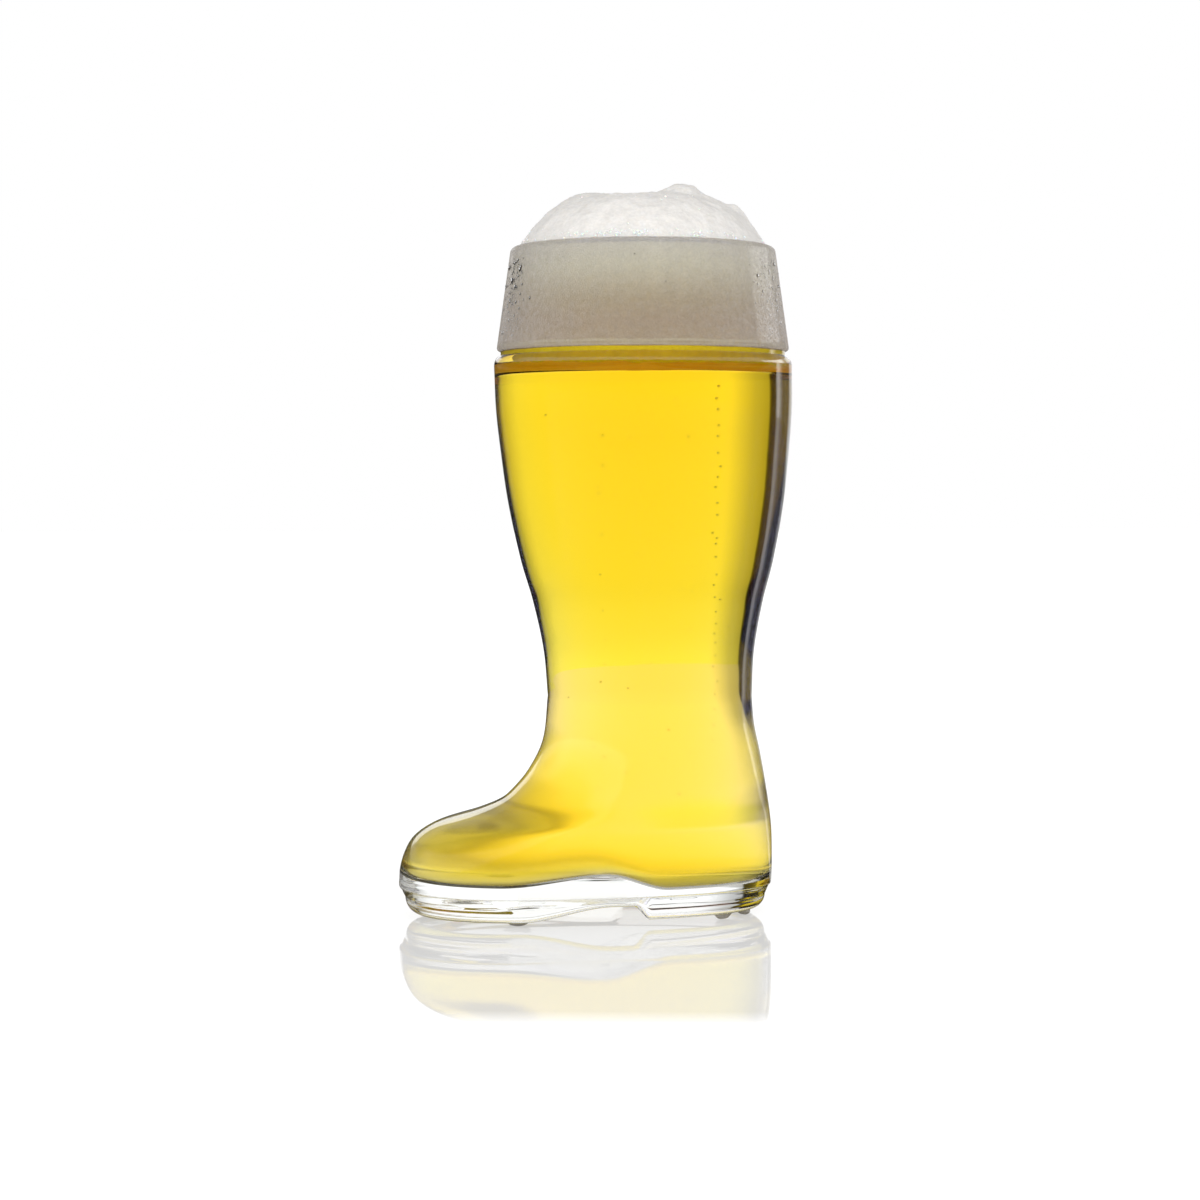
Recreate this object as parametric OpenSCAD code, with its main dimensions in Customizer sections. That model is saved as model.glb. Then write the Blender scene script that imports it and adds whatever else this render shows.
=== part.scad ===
// Beer boot glass: a drinking glass shaped like a boot, with a cuff, a groove below it, a shaft that
// narrows to the ankle and a foot on a thick clear sole. It stands filled, with a head of foam.
// The toe points to -X, the mouth looks up, and the origin lies in the middle of the footprint.

/* [Glass] */
// Height of the rim above the table
glass_h = 234; // [210:1:270]
// Thickness of the glass in the cuff, the shaft and the foot
wall_t = 4; // [3:0.1:5]
// Thickness of the rounded lip
lip_t = 4.2; // [3.6:0.1:5]

/* [Cuff] */
// Height of the cuff, from its lower corner to the rim
cuff_h = 36.2; // [28:0.1:45]
// Outer diameter of the cuff at the rim
rim_d = 92.8; // [88:0.1:98]
// Outer diameter of the cuff at its lower corner
cuff_d = 102.2; // [99:0.1:108]
// Radius of the cuff's lower corner
cuff_corner_r = 1.2; // [0.8:0.1:1.8]
// Outer diameter at the bottom of the groove
groove_d = 99.6; // [96:0.1:100]
// Height from the bottom of the groove to the cuff's lower corner
groove_h = 1.6; // [1:0.1:3]
// Height of the rounded shoulder below the groove
shoulder_h = 3.6; // [3:0.1:7]

/* [Shaft] */
// Largest outer diameter of the shaft, below its shoulder
shaft_d = 104.4; // [100:0.1:112]
// Smallest outer diameter, at the ankle
ankle_d = 72; // [66:0.1:78]
// Height of the ankle's narrowest place above the table
ankle_z = 77; // [70:0.1:88]
// Distance that the ankle lies behind the middle of the mouth
ankle_back = 2.6; // [0:0.1:5]

/* [Foot] */
// Reach of the toe in front of the middle of the mouth
toe_reach = 86; // [78:0.1:95]
// Reach of the heel behind the middle of the mouth
heel_reach = 45.8; // [43:0.1:50]
// Width of the foot across the ball
foot_w = 71; // [66:0.1:82]

/* [Sole] */
// Height of the welt, the edge where the foot meets the sole
welt_z = 11.8; // [10:0.1:14]
// Distance that the sole is stepped in below the welt
welt_step = 0.6; // [0.4:0.1:1.5]
// Height of the welt's step
welt_h = 1.2; // [0.6:0.1:2]
// Distance that the sole's side leans in further down
sole_taper = 1.6; // [1:0.1:3]
// Radius of the sole's lower edge
sole_edge_r = 5; // [2:0.1:6]
// Height of the arch under the waist of the sole
arch_h = 4.9; // [3:0.1:7]
// Length of the arch, from the ball to the front of the heel
arch_l = 40; // [30:0.1:46]
// Length of the slanted front of the heel
breast_l = 4.5; // [3:0.1:8]
// Distance of the heel's lower front edge in front of the middle of the mouth
heel_front = 2.2; // [-4:0.1:6]
// Diameter of the nubs that the sole stands on
nub_d = 8.4; // [4:0.1:10]
// Height of the nubs
nub_h = 1.9; // [0.6:0.1:2.4]

/* [Inside] */
// Thickness of the glass under the heel
heel_floor_t = 12; // [10:0.1:14]
// Height that the inside rises from the heel to the toe
toe_rise = 2; // [1:0.1:5]
// Height that the inside rises from the heel to the arch
arch_rise = 5.4; // [2:0.1:7]
// Radius of the inside's lower edge
floor_r = 5.6; // [4:0.1:12]

/* [Contents] */
// Depth of the beer's surface below the rim
beer_below_rim = 37.4; // [36:0.1:60]
// Diameter of the foam's dome, which swells over the inside of the lip
foam_dome_d = 86.8; // [85:0.1:88]
// Height of the foam's dome above the rim
foam_dome_h = 17.3; // [12:0.1:24]
// Clearance between the contents and the glass, and between the beer and its foam
content_gap = 0.15; // [0.1:0.05:0.4]

/* [Hidden] */

// Points around each ring, and steps along each stretch of the outline
sides = 48;
round_steps = 5;
foot_steps = 6;
vamp_steps = 7;
shaft_steps = 11;
cap_steps = 4;
overrun = 1;
$fn = 48;

// Heights along the boot
cuff_z = glass_h - cuff_h;
groove_z = cuff_z - groove_h;
shaft_z = groove_z - shoulder_h;
foot_h = ankle_z - welt_z;
shaft_h = shaft_z - ankle_z;
beer_z = glass_h - beer_below_rim;

// The middle of the mouth lies behind the origin, which is the middle of the footprint
mouth_x = (toe_reach - shaft_d / 2 - shift(shaft_z)) / 2;

// Front of the foot, from the welt up to the ankle: share of that height, share of the toe's reach
front_shares = [[0, 1], [0.1, 0.988], [0.21, 0.935], [0.27, 0.865], [0.325, 0.735], [0.378, 0.5],
    [0.432, 0.33], [0.49, 0.24], [0.6, 0.128], [0.76, 0.034], [1, 0]];
// Back of the foot, from the welt up to the ankle: share of that height, share of the heel's reach
back_shares = [[0, 0.97], [0.1, 1], [0.3, 0.97], [0.5, 0.72], [0.7, 0.4], [0.85, 0.12], [1, 0]];
// Width of the foot: share of that height, share of the foot's width over the ankle's
width_shares = [[0, 0.95], [0.12, 1], [0.3, 0.9], [0.5, 0.3], [0.7, 0], [1, 0]];
// Shaft: share of the height from the ankle to the shoulder, share of the growth in radius
shaft_shares = [[0, 0], [0.14, 0.068], [0.29, 0.277], [0.41, 0.512], [0.59, 0.765], [0.745, 0.9],
    [0.87, 0.98], [1, 1]];
// Place of the widest section along the foot, as a share of how far the foot reaches past the ankle
ball_share = 0.8;
// Squareness of a section: 2 is an ellipse, and the foot's toe and heel are a little blunter
toe_square = 2.25;
heel_square = 2.6;
// Height that the glass over the foot adds to the wall, as a share of the wall
vault_share = 0.75;
// Depth over which the inside's rise at the toe and the arch fades out, as a share of the foot's height
rise_fade_share = 0.3;
// Places along the foot where the inside's floor changes, as shares of the toe's reach
toe_floor_share = 0.62;
arch_floor_share = 0.2;
heel_floor_share = -0.06;
// Wall behind the groove, as a share of the wall elsewhere
groove_wall_share = 0.85;
// Part of the arch's length over which its roof rises
arch_slope_share = 0.8;
// Heights between which the foot's top is flattest, as shares of the foot's height
vamp_low_share = 0.27;
vamp_high_share = 0.46;
// Places of the nubs, as shares of [the toe's reach, the foot's width]
nub_shares = [[-0.86, 0], [-0.54, 0.29], [-0.54, -0.29], [0.31, 0.29], [0.31, -0.29],
    [0.42, 0.13], [0.42, -0.13]];

// Foam: the dome's fullness, and its lumps as [angle, share of the radius, width share, height share]
dome_power = 4;
lumps = [[-9, 0.32, 0.21, 0.29], [-9, 0.8, 0.115, 0.3], [171, 0.5, 0.29, 0.15], [0, 0.02, 0.08, -0.07],
    [120, 0.55, 0.3, -0.04], [240, 0.7, 0.2, 0.03]];
dome_steps = 9;

// A smooth curve through the knots of a table of [place, value]
function knot(t, x, i = 0) = i >= len(t) - 2 || x < t[i + 1][0] ? i : knot(t, x, i + 1);
function slope(t, i) =
    let (lo = max(i - 1, 0), hi = min(i + 1, len(t) - 1))
    (t[hi][1] - t[lo][1]) / (t[hi][0] - t[lo][0]);
function along(t, x) =
    let (i = knot(t, x), w = t[i + 1][0] - t[i][0], s = (x - t[i][0]) / w, s2 = s * s, s3 = s2 * s)
    t[i][1] * (2 * s3 - 3 * s2 + 1) + slope(t, i) * w * (s3 - 2 * s2 + s)
    + t[i + 1][1] * (3 * s2 - 2 * s3) + slope(t, i + 1) * w * (s3 - s2);
function ease(s) = let (c = min(max(s, 0), 1)) c * c * (3 - 2 * c);
function mix(a, b, s) = a + (b - a) * s;

// Outline of the boot at height z: [front reach, back reach, half width, place of the widest section]
function shift(z) = ankle_back * (1 - min(1, max(0, z - ankle_z) / (groove_z - ankle_z)));
function round_section(z, r) = [r - shift(z), r + shift(z), r, shift(z)];
function foot_section(z) =
    let (t = (z - welt_z) / foot_h, r = ankle_d / 2,
        front = mix(r - ankle_back, toe_reach, along(front_shares, t)),
        back = mix(r + ankle_back, heel_reach, along(back_shares, t)),
        half = mix(r, foot_w / 2, along(width_shares, t)))
    [front, back, half, ankle_back - ball_share * (front - r + ankle_back)];
function shaft_r(z) = mix(ankle_d / 2, shaft_d / 2, along(shaft_shares, (z - ankle_z) / shaft_h));
function section(z) = z < ankle_z ? foot_section(max(z, welt_z)) : round_section(z, shaft_r(z));
function shrink(s, by) = [s[0] - by, s[1] - by, s[2] - by, s[3]];

// A ring of points around a section, at height z; foot says how much of the foot's squareness it has
function foot_share(z) = 1 - ease((z - welt_z) / foot_h);
function bend(v, n) = sign(v) * pow(abs(v), 2 / n);
function ring(s, z, foot = 0) =
    [for (i = [0:sides - 1])
        let (a = 360 * i / sides, n = mix(2, cos(a) < 0 ? toe_square : heel_square, foot),
            reach = cos(a) < 0 ? s[0] + s[3] : s[1] - s[3])
        [mouth_x + s[3] + reach * bend(cos(a), n), s[2] * bend(sin(a), n), z]];
function round_ring(z, r) = ring(round_section(z, r), z);

// The outside, from the sole's flat bottom up to the lip
sole_side = welt_step + sole_taper;
function sole_ring(by, z) = ring(shrink(section(welt_z), by), z, 1);
foot_shares = concat(
    [for (i = [0:foot_steps - 1]) mix(0, vamp_low_share, i / foot_steps)],
    [for (i = [0:vamp_steps - 1]) mix(vamp_low_share, vamp_high_share, i / vamp_steps)],
    [for (i = [0:foot_steps - 1]) mix(vamp_high_share, 1, i / foot_steps)]);
foot_heights = [for (t = foot_shares) welt_z + foot_h * t];
shaft_heights = [for (i = [0:shaft_steps - 1]) ankle_z + shaft_h * i / shaft_steps];
outside = concat(
    [for (i = [0:round_steps]) let (a = 90 * i / round_steps)
        sole_ring(sole_side + sole_edge_r * (1 - sin(a)), nub_h + sole_edge_r * (1 - cos(a)))],
    [sole_ring(welt_step, welt_z - welt_h)],
    [for (z = concat(foot_heights, shaft_heights)) ring(section(z), z, foot_share(z))],
    [for (i = [0:round_steps]) let (a = 90 * i / round_steps)
        round_ring(shaft_z + shoulder_h * sin(a), mix(groove_d, shaft_d, cos(a)) / 2)],
    [for (i = [0:round_steps]) let (a = 90 * i / round_steps)
        round_ring(cuff_z + cuff_corner_r * (1 - cos(a)), cuff_d / 2 - cuff_corner_r * (1 - sin(a)))],
    [for (i = [0:round_steps * 2]) let (a = 90 * i / round_steps)
        round_ring(glass_h - lip_t / 2 * (1 - sin(a)), rim_d / 2 - lip_t / 2 * (1 - cos(a)))]);

// The inside, from the middle of its floor up to the lip, with a gap all round for what fills it
function vault(z) = wall_t * vault_share * foot_share(z);
function inner_section(z, by) = shrink(section(max(z, welt_z) + vault(z)), wall_t + by);
function floor_rise(x) =
    let (u = (mouth_x - x) / toe_reach)
    u > arch_floor_share
        ? mix(arch_rise, toe_rise, ease((u - arch_floor_share) / (toe_floor_share - arch_floor_share)))
        : arch_rise * ease((u - heel_floor_share) / (arch_floor_share - heel_floor_share));
function lift(points) =
    [for (p = points) [p[0], p[1],
        p[2] + floor_rise(p[0]) * (1 - ease((p[2] - heel_floor_t) / (foot_h * rise_fade_share)))]];
function inner_ring(z, by) = lift(ring(inner_section(z, by), z, foot_share(z)));
inner_heights = concat([for (z = foot_heights) z - vault(z)],
    [for (z = shaft_heights) if (z < shaft_z - shoulder_h) z]);
top_knots = [[shaft_z - shoulder_h, shaft_r(shaft_z - shoulder_h) - wall_t],
    [groove_z, groove_d / 2 - wall_t * groove_wall_share], [cuff_z + shoulder_h, cuff_d / 2 - wall_t],
    [glass_h - lip_t / 2, rim_d / 2 - lip_t]];
function inner_top_ring(z, gap) = round_ring(z, along(top_knots, z) - gap);
function filling(gap, top) =
    let (floor_z = heel_floor_t + gap)
    concat(
        [for (i = [1:cap_steps - 1]) lift(ring(inner_section(floor_z, floor_r + gap) * (i / cap_steps),
            floor_z, 1))],
        [for (i = [0:round_steps]) let (a = 90 * i / round_steps)
            inner_ring(floor_z + floor_r * (1 - cos(a)), gap + floor_r * (1 - sin(a)))],
        [for (z = inner_heights) if (z > floor_z + floor_r + wall_t / 2) inner_ring(z, gap)],
        [for (i = [0:cap_steps * 2])
            inner_top_ring(mix(shaft_z - shoulder_h, top, i / cap_steps / 2), gap)]);

// Joins rings into one closed skin; the middle of the first and of the last ring closes its ends
function middle(r) = [for (k = [0:2]) (min([for (p = r) p[k]]) + max([for (p = r) p[k]])) / 2];
module skin(rings) {
    last = len(rings) - 1;
    points = concat([for (r = rings, p = r) p], [middle(rings[0]), middle(rings[last])]);
    faces = concat(
        [for (k = [0:last - 1], i = [0:sides - 1], upper = [false, true])
            let (a = k * sides + i, b = k * sides + (i + 1) % sides)
            upper ? [b, a + sides, b + sides] : [a, a + sides, b]],
        [for (i = [0:sides - 1]) [i, (i + 1) % sides, len(points) - 2]],
        [for (i = [0:sides - 1])
            [last * sides + (i + 1) % sides, last * sides + i, len(points) - 1]]);
    polyhedron(points, faces);
}
function backwards(rings) = [for (i = [len(rings) - 1:-1:0]) rings[i]];

// The arch under the waist, cut right across the sole
module arch() {
    heel_x = mouth_x - heel_front;
    top_x = heel_x - breast_l;
    roof = [for (i = [0:round_steps]) let (s = i / round_steps)
        [top_x - arch_l * (1 - s), nub_h + arch_h * ease(s / arch_slope_share)]];
    translate([0, foot_w / 2, 0]) rotate([90, 0, 0]) linear_extrude(foot_w)
        polygon(concat(roof, [[heel_x, nub_h], [heel_x, -overrun], [top_x - arch_l, -overrun]]));
}

// Nubs that carry the sole: one under the toe, two under the ball and four under the heel
module nubs() {
    for (place = nub_shares)
        translate([mouth_x + place[0] * toe_reach, place[1] * foot_w, 0])
            cylinder(d = nub_d, h = nub_h + overrun);
}

module boot_glass() {
    color([0.9, 0.95, 0.93, 0.35])
    union() {
        difference() {
            skin(concat(outside, backwards(filling(0, glass_h - lip_t / 2))));
            arch();
        }
        nubs();
    }
}

module beer() {
    color([0.98, 0.82, 0.1, 0.8]) skin(filling(content_gap, beer_z));
}

// Height of the foam's dome at a share of the radius and an angle
function lump(l, share, a) =
    let (dx = share * cos(a) - l[1] * cos(l[0]), dy = share * sin(a) - l[1] * sin(l[0]))
    l[3] * exp(-(dx * dx + dy * dy) / (l[2] * l[2]));
function add(values, i = 0) = i >= len(values) ? 0 : values[i] + add(values, i + 1);
function dome(share, a) =
    foam_dome_h * (1 - pow(share, dome_power)) * (1 + add([for (l = lumps) lump(l, share, a)]));
module foam_head() {
    low_z = beer_z + content_gap;
    top_z = glass_h - lip_t / 2;
    lip_inside = [for (i = [1:cap_steps - 1]) let (a = 90 * i / cap_steps)
        round_ring(top_z + (lip_t / 2 + content_gap) * sin(a),
            min(foam_dome_d / 2, rim_d / 2 - lip_t / 2 - (lip_t / 2 + content_gap) * cos(a)))];
    inside = [for (i = [0:cap_steps * 2])
        inner_top_ring(mix(low_z, top_z, i / cap_steps / 2), content_gap)];
    above = [for (k = [0:dome_steps - 1]) let (share = cos(90 * k / dome_steps))
        [for (i = [0:sides - 1]) let (a = 360 * i / sides, r = foam_dome_d / 2 * share)
            [mouth_x + r * cos(a), r * sin(a), glass_h + content_gap + dome(share, a)]]];
    color([0.94, 0.93, 0.9]) skin(concat(inside, lip_inside, above));
}

boot_glass();
beer();
foam_head();
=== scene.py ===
import math
import random

import bpy
import numpy as np
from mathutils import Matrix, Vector, noise


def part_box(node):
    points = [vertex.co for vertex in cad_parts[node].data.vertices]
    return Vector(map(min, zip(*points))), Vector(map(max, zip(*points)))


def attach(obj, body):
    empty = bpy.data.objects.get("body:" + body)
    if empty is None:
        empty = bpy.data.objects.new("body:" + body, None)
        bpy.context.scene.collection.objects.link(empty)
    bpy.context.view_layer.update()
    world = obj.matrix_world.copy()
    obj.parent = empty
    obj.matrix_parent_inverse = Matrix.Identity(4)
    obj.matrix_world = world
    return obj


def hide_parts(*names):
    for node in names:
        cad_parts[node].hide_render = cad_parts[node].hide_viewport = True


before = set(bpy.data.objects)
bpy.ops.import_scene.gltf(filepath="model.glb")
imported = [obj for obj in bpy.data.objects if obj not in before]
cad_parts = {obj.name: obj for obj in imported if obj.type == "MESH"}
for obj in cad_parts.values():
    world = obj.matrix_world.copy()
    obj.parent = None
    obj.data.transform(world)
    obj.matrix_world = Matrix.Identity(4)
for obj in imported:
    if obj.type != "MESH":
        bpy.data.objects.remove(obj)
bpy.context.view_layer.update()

MM = 0.001
SEED = 7
camera_azimuth = -9

# Heights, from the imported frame
glass_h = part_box("boot_glass")[1][2] / MM
beer_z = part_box("beer")[1][2] / MM

# The boot's named sizes
wall_t = 4.0
lip_t = 4.2
cuff_h = 36.2
rim_d = 92.8
cuff_d = 102.2
cuff_corner_r = 1.2
groove_d = 99.6
groove_h = 1.6
shoulder_h = 3.6
shaft_d = 104.4
ankle_d = 72.0
ankle_z = 77.0
ankle_back = 2.6
toe_reach = 86.0
heel_reach = 45.8
foot_w = 71.0
welt_z = 11.8
welt_step = 0.6
welt_h = 1.2
sole_taper = 1.6
sole_edge_r = 5.0
arch_h = 4.9
arch_l = 40.0
breast_l = 4.5
heel_front = 2.2
nub_d = 8.4
nub_h = 1.9
heel_floor_t = 12.0
toe_rise = 2.0
arch_rise = 5.4
floor_r = 5.6
foam_dome_d = 86.8
foam_dome_h = 17.3

cuff_z = glass_h - cuff_h
lip_z = glass_h - lip_t / 2
groove_z = cuff_z - groove_h
shaft_z = groove_z - shoulder_h
foot_h = ankle_z - welt_z
shaft_h = shaft_z - ankle_z

# Shares of the foot's height and of its reach, as in the construction
front_shares = [(0, 1), (0.1, 0.988), (0.21, 0.935), (0.27, 0.865), (0.325, 0.735), (0.378, 0.5),
                (0.432, 0.33), (0.49, 0.24), (0.6, 0.128), (0.76, 0.034), (1, 0)]
back_shares = [(0, 0.97), (0.1, 1), (0.3, 0.97), (0.5, 0.72), (0.7, 0.4), (0.85, 0.12), (1, 0)]
width_shares = [(0, 0.95), (0.12, 1), (0.3, 0.9), (0.5, 0.3), (0.7, 0), (1, 0)]
shaft_shares = [(0, 0), (0.14, 0.068), (0.29, 0.277), (0.41, 0.512), (0.59, 0.765), (0.745, 0.9),
                (0.87, 0.98), (1, 1)]
ball_share = 0.8
toe_square = 2.25
heel_square = 2.6
vault_share = 0.75
rise_fade_share = 0.3
toe_floor_share = 0.62
arch_floor_share = 0.2
heel_floor_share = -0.06
groove_wall_share = 0.85
arch_slope_share = 0.8
nub_shares = [(-0.86, 0), (-0.54, 0.29), (-0.54, -0.29), (0.31, 0.29), (0.31, -0.29), (0.42, 0.13),
              (0.42, -0.13)]


# Curves and sections
def along(knots, x):
    """Value of a smooth curve through (place, value) knots."""
    places = [k[0] for k in knots]
    values = [k[1] for k in knots]
    i = 0
    while i < len(knots) - 2 and x >= places[i + 1]:
        i += 1
    width = places[i + 1] - places[i]
    s = (x - places[i]) / width

    def slope(j):
        lo = max(j - 1, 0)
        hi = min(j + 1, len(knots) - 1)
        return (values[hi] - values[lo]) / (places[hi] - places[lo])

    s2 = s * s
    s3 = s2 * s
    rising = values[i] * (2 * s3 - 3 * s2 + 1) + values[i + 1] * (3 * s2 - 2 * s3)
    return rising + width * (slope(i) * (s3 - 2 * s2 + s) + slope(i + 1) * (s3 - s2))


def ease(s):
    c = min(max(s, 0.0), 1.0)
    return c * c * (3 - 2 * c)


def mix(a, b, s):
    return a + (b - a) * s


def shares(steps):
    """Shares of the way at the steps between two ends, without the ends."""
    return [i / steps for i in range(1, steps)]


def quarter_turn(steps):
    """Angles of the steps round a quarter circle, with both ends."""
    return [math.pi / 2 * i / steps for i in range(steps + 1)]


def shift(z):
    """How far toward the heel the shaft's middle stands at height z."""
    return ankle_back * (1 - min(1, max(0, z - ankle_z) / (groove_z - ankle_z)))


mouth_x = (toe_reach - shaft_d / 2 - shift(shaft_z)) / 2


def round_section(z, r):
    """A section is its reach forward and back, its half width, and how far back its widest line is."""
    return (r - shift(z), r + shift(z), r, shift(z))


def foot_section(z):
    t = (z - welt_z) / foot_h
    r = ankle_d / 2
    front = mix(r - ankle_back, toe_reach, along(front_shares, t))
    back = mix(r + ankle_back, heel_reach, along(back_shares, t))
    half = mix(r, foot_w / 2, along(width_shares, t))
    return (front, back, half, ankle_back - ball_share * (front - r + ankle_back))


def section(z):
    if z < ankle_z:
        return foot_section(max(z, welt_z))
    grown = along(shaft_shares, min(1, (z - ankle_z) / shaft_h))
    return round_section(z, mix(ankle_d / 2, shaft_d / 2, grown))


def shrink(s, by):
    """A section drawn in all round, as by the thickness of the wall."""
    return (s[0] - by, s[1] - by, s[2] - by, s[3])


def foot_share(z):
    """How much of the foot's squareness a section has: all at the welt, none at the ankle."""
    return 1 - ease((z - welt_z) / foot_h)


# Columns of points round the boot, and the degrees of the close ones
even_columns = 240
close_columns = 31
close_start = 67.2
close_step = 0.3


def heel_breast_angles():
    """Angles of the columns: even, with close ones where the heel's front crosses the sole's side."""
    even = [360 * i / even_columns for i in range(even_columns)]
    close = [close_start + close_step * i for i in range(close_columns)]
    return sorted(set(round(a, 3) for a in even + close + [360 - a for a in close]))


angles = np.radians(heel_breast_angles())
cosines = np.cos(angles)
sines = np.sin(angles)
columns = len(angles)


def bend(values, power):
    """Rounds a circle's sines or cosines toward a square, the more the higher the power."""
    return np.sign(values) * np.abs(values) ** (2 / power)


def ring(s, z, foot=0.0):
    """Points round a section at height z; foot says how much of the foot's squareness it has."""
    power = np.where(cosines < 0, mix(2, toe_square, foot), mix(2, heel_square, foot))
    reach = np.where(cosines < 0, s[0] + s[3], s[1] - s[3])
    x = mouth_x + s[3] + reach * bend(cosines, power)
    y = s[2] * bend(sines, power)
    return np.stack([x, y, np.full(columns, float(z))], axis=1)


def round_ring(z, r):
    return ring(round_section(z, r), z)


# The sole's bottom, with its arch and nubs
arch_top_x = mouth_x - heel_front - breast_l
arch_start_x = arch_top_x - arch_l
arch_soften = 0.7


def arch_roof_at(x):
    """Height of the sole's underside at x: a slow rise to the arch, and the heel's steep front."""
    s = (x - arch_start_x) / arch_l
    if s <= 0 or x >= mouth_x - heel_front:
        return nub_h
    if s <= 1:
        return nub_h + arch_h * ease(s / arch_slope_share)
    return nub_h + arch_h * (mouth_x - heel_front - x) / breast_l


def arch_roof(x):
    """Height of the sole's underside at x, with the edges of the arch softened by the mould."""
    tries = [arch_roof_at(x + arch_soften * (i - 3) / 3) for i in range(7)]
    return sum(tries) / len(tries)


def under_arch(points):
    """Lifts the low points of the sole's side so that the sole's height shrinks over the arch."""
    lifted = points.copy()
    top = welt_z - welt_h
    for k, (x, _, z) in enumerate(points):
        roof = arch_roof(x)
        if z < top and roof > nub_h:
            lifted[k][2] = roof + (z - nub_h) * (top - roof) / (top - nub_h)
    return lifted


# Shares of a nub's width: from its middle to the edge of its flat, and down its round side
nub_flat_share = 0.3
nub_side_share = 0.32


def nub_drop(x, y):
    """Depth of the nubs below the sole at a place."""
    drop = 0.0
    for along_foot, across in nub_shares:
        off = math.hypot(x - mouth_x - along_foot * toe_reach, y - across * foot_w)
        down_side = ease((off - nub_d * nub_flat_share) / (nub_d * nub_side_share))
        drop = max(drop, nub_h * (1 - down_side))
    return drop


def froth(point, size, seed=0.0):
    """Even noise from -1 to 1 whose lumps are about size millimetres."""
    return noise.noise(Vector((point[0] / size + seed, point[1] / size, point[2] / size)))


def lumpy(point, lumps, seed=0.0):
    """Height of lumps at a point, from (rise, size) pairs."""
    return sum(rise * froth(point, size, seed) for rise, size in lumps)


# Furrows round the sole's side: height and depth of each
furrows = [(9.7, 0.75), (7.7, 0.6), (5.2, 0.25)]
# Half their thickness, how far they wander up and down, and how long their waves and their pieces are
furrow_t = 0.4
furrow_wander = 0.9
furrow_wave = 17
furrow_piece = 14
# Ends of the line inside the foot from which the sole's side faces away
spine_front = -35
spine_back = 20


def furrowed(points):
    """Shallow wandering furrows that the mould leaves in the sole's side, deepest round the toe."""
    for point in points:
        x, y, z = point
        outward = np.array((x - min(max(x, spine_front), spine_back), y))
        outward /= max(np.linalg.norm(outward), 1e-6)
        for height, depth in furrows:
            line = height + furrow_wander * froth((x, y, 9 * height), furrow_wave)
            strength = max(0.0, 0.25 + 1.4 * froth((x, y, 5 * height), furrow_piece))
            strength *= mix(0.1, 1.0, ease((10 - x) / 60))
            point[:2] -= outward * depth * strength * math.exp(-((z - line) / furrow_t) ** 2)
    return points


def sole_ring(by, z):
    return ring(shrink(section(welt_z), by), z, 1)


def stretch(low, high, steps):
    """Even steps from low on, without high."""
    return [mix(low, high, i / steps) for i in range(steps)]


foot_steps = stretch(0, 0.27, 22) + stretch(0.27, 0.46, 26) + stretch(0.46, 1, 26)
foot_heights = [welt_z + foot_h * t for t in foot_steps]
shaft_heights = stretch(ankle_z, shaft_z, 56)
edge_rings = 13
lip_steps = 28


def outside_rings():
    """Rings of the outside, from the sole's lower edge up and over the lip."""
    rings = []
    side = welt_step + sole_taper
    for a in quarter_turn(edge_rings - 1):
        by = side + sole_edge_r * (1 - math.sin(a))
        rings.append(under_arch(sole_ring(by, nub_h + sole_edge_r * (1 - math.cos(a)))))
    low = nub_h + sole_edge_r
    high = welt_z - welt_h
    for s in shares(24):
        rings.append(furrowed(under_arch(sole_ring(mix(side, welt_step, s), mix(low, high, s)))))
    for a in quarter_turn(6):
        z = mix(high, welt_z - welt_h * 0.4, 1 - math.cos(a))
        rings.append(sole_ring(welt_step * (1 - math.sin(a)), z))
    for z in foot_heights + shaft_heights:
        rings.append(ring(section(z), z, foot_share(z)))
    for a in quarter_turn(14):
        rings.append(round_ring(shaft_z + shoulder_h * math.sin(a), mix(groove_d, shaft_d, math.cos(a)) / 2))
    for s in shares(5):
        rings.append(round_ring(mix(groove_z, cuff_z, s), groove_d / 2))
    for a in quarter_turn(8):
        edge = cuff_d / 2 - cuff_corner_r * (1 - math.sin(a))
        rings.append(round_ring(cuff_z + cuff_corner_r * (1 - math.cos(a)), edge))
    for s in shares(16):
        rings.append(round_ring(mix(cuff_z + cuff_corner_r, lip_z, s), mix(cuff_d, rim_d, s) / 2))
    for i in range(lip_steps + 1):
        a = math.pi * i / lip_steps
        z = glass_h - lip_t / 2 * (1 - math.sin(a))
        rings.append(round_ring(z, rim_d / 2 - lip_t / 2 * (1 - math.cos(a))))
    return rings


# The inside
def vault(z):
    """How far above z the outside has the section that the inside follows, to thicken the foot's top."""
    return wall_t * vault_share * foot_share(z)


def inner_section(z, by):
    return shrink(section(max(z, welt_z) + vault(z)), wall_t + by)


def floor_rise(x):
    """How much higher than under the heel the floor inside is at x."""
    u = (mouth_x - x) / toe_reach
    if u > arch_floor_share:
        return mix(arch_rise, toe_rise, ease((u - arch_floor_share) / (toe_floor_share - arch_floor_share)))
    return arch_rise * ease((u - heel_floor_share) / (arch_floor_share - heel_floor_share))


def lift(points):
    """Raises the inside's low points with its floor, less and less up the foot."""
    lifted = points.copy()
    for k, (x, _, z) in enumerate(points):
        lifted[k][2] = z + floor_rise(x) * (1 - ease((z - heel_floor_t) / (foot_h * rise_fade_share)))
    return lifted


def inner_ring(z, by):
    return lift(ring(inner_section(z, by), z, foot_share(z)))


inner_heights = [z - vault(z) for z in foot_heights] + [z for z in shaft_heights if z < shaft_z - shoulder_h]
top_knots = [
    (shaft_z - shoulder_h, section(shaft_z - shoulder_h)[2] - wall_t),
    (groove_z, groove_d / 2 - wall_t * groove_wall_share),
    (cuff_z + shoulder_h, cuff_d / 2 - wall_t),
    (lip_z, rim_d / 2 - lip_t),
]


def inner_top_ring(z, gap):
    return round_ring(z, along(top_knots, z) - gap)


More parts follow.
